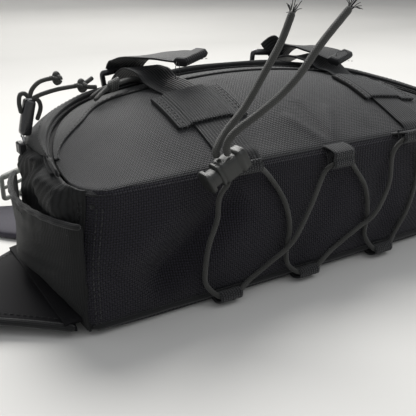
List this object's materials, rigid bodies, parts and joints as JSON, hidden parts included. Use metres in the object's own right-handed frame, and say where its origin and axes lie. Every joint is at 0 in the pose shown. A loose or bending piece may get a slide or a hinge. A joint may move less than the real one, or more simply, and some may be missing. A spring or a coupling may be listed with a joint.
{
  "type": "lumbar pack",
  "caption": "Small padded waist pack with a laced base, zipped front pocket, side pockets, compression straps, folding belt wings and a buckle.",
  "frame": {"origin": "middle of the back panel's outer face, which the pack lies on", "axes": "+X along the pack towards the plug end of the belt, +Y towards the pack's top when worn, +Z out through the front pocket"},
  "size_m": [0.7256, 0.2847, 0.1656],
  "materials": {
    "ballistic_nylon": "matt coarse basket weave",
    "ripstop_nylon": "matt fine weave, a little stretch",
    "spacer_mesh": "matt knitted padding cover",
    "webbing": "ribbed, slightly satin",
    "elastic_cord": "braided cover, matt",
    "acetal": "satin black moulding",
    "moulded_nylon": "grey-olive moulding",
    "zip_coil": "woven tape with a coil"
  },
  "bodies": {
    "pack": {"back_panel": "spacer_mesh", "base_wall": "ballistic_nylon", "divider": "ripstop_nylon", "front_pocket": "ballistic_nylon", "front_zip_tape": "zip_coil", "gusset": "ripstop_nylon", "main_zip_tape": "zip_coil", "end_wall_left": "ripstop_nylon", "end_wall_right": "ripstop_nylon", "side_pocket_left": "ripstop_nylon", "side_pocket_right": "ripstop_nylon", "sling_pad": "spacer_mesh", "sling_web": "webbing", "sling_adjuster": "moulded_nylon", "strap_left": "webbing", "strap_right": "webbing", "keeper_left": "webbing", "keeper_right": "webbing", "strap_tail_left": "webbing", "strap_tail_right": "webbing", "top_loop_1": "webbing", "top_loop_2": "webbing", "top_loop_3": "webbing", "base_loop_1": "webbing", "base_loop_2": "webbing", "base_loop_3": "webbing", "lace": "elastic_cord", "lace_end_1": "elastic_cord", "lace_end_2": "elastic_cord", "cord_lock": "moulded_nylon"},
    "flap": {"far_flap": "ballistic_nylon"},
    "belt_left": {"wing_left": "spacer_mesh", "belt_web_left": "webbing"},
    "belt_right": {"wing_right": "spacer_mesh", "belt_web_right": "webbing"},
    "socket": {"buckle_socket": "acetal"},
    "plug": {"buckle_plug": "acetal"},
    "strap_lock_left": {"strap_lock_left": "acetal"},
    "strap_lock_right": {"strap_lock_right": "acetal"},
    "plunger": {"lock_plunger": "moulded_nylon"},
    "front_slider": {"front_zip_slider": "acetal"},
    "front_pull": {"front_zip_pull": "elastic_cord"},
    "main_slider": {"main_zip_slider": "acetal"},
    "main_pull": {"main_zip_pull": "acetal", "main_pull_cord": "elastic_cord"}
  },
  "joints": [
    {"name": "flap_hinge", "type": "hinge", "parent": "pack", "child": "flap", "pos_m": [0, 0.0588, 0.013], "axis": [-1, 0, 0], "range_deg": [0, 90]},
    {"name": "wing_left_fold", "type": "hinge", "parent": "pack", "child": "belt_left", "pos_m": [-0.1533, 0, 0.0055], "axis": [0, 1, 0], "range_deg": [-80, 25]},
    {"name": "wing_right_fold", "type": "hinge", "parent": "pack", "child": "belt_right", "pos_m": [0.1533, 0, 0.0055], "axis": [0, -1, 0], "range_deg": [-80, 25]},
    {"name": "socket_fold", "type": "hinge", "parent": "belt_left", "child": "socket", "pos_m": [-0.3231, 0, 0.0065], "axis": [0, 1, 0], "range_deg": [-10, 60]},
    {"name": "plug_fold", "type": "hinge", "parent": "belt_right", "child": "plug", "pos_m": [0.3231, 0, 0.0065], "axis": [0, -1, 0], "range_deg": [-10, 60]},
    {"name": "strap_lock_left_tilt", "type": "hinge", "parent": "pack", "child": "strap_lock_left", "pos_m": [-0.0655, 0.074, 0.0965], "axis": [-1, 0, 0], "range_deg": [0, 40]},
    {"name": "strap_lock_right_tilt", "type": "hinge", "parent": "pack", "child": "strap_lock_right", "pos_m": [0.058, 0.074, 0.0985], "axis": [-1, 0, 0], "range_deg": [0, 40]},
    {"name": "plunger_press", "type": "slide", "parent": "pack", "child": "plunger", "axis": [0.8941, 0, 0.4478], "range_m": [0, 0.0035], "stiffness_N_per_m": 400, "springref_m": -0.0035},
    {"name": "front_zip_slide", "type": "slide", "parent": "pack", "child": "front_slider", "axis": [-0.9885, 0, -0.1513], "range_m": [0, 0.03]},
    {"name": "front_pull_swing", "type": "hinge", "parent": "front_slider", "child": "front_pull", "pos_m": [-0.065, 0.0486, 0.1112], "axis": [0, 1, 0], "range_deg": [0, 12]},
    {"name": "main_zip_slide", "type": "slide", "parent": "pack", "child": "main_slider", "axis": [0, 1, 0], "range_m": [0, 0.018]},
    {"name": "main_pull_swing", "type": "hinge", "parent": "main_slider", "child": "main_pull", "pos_m": [-0.153, 0.0246, 0.089], "axis": [0, -1, 0], "range_deg": [0, 100]}
  ]
}
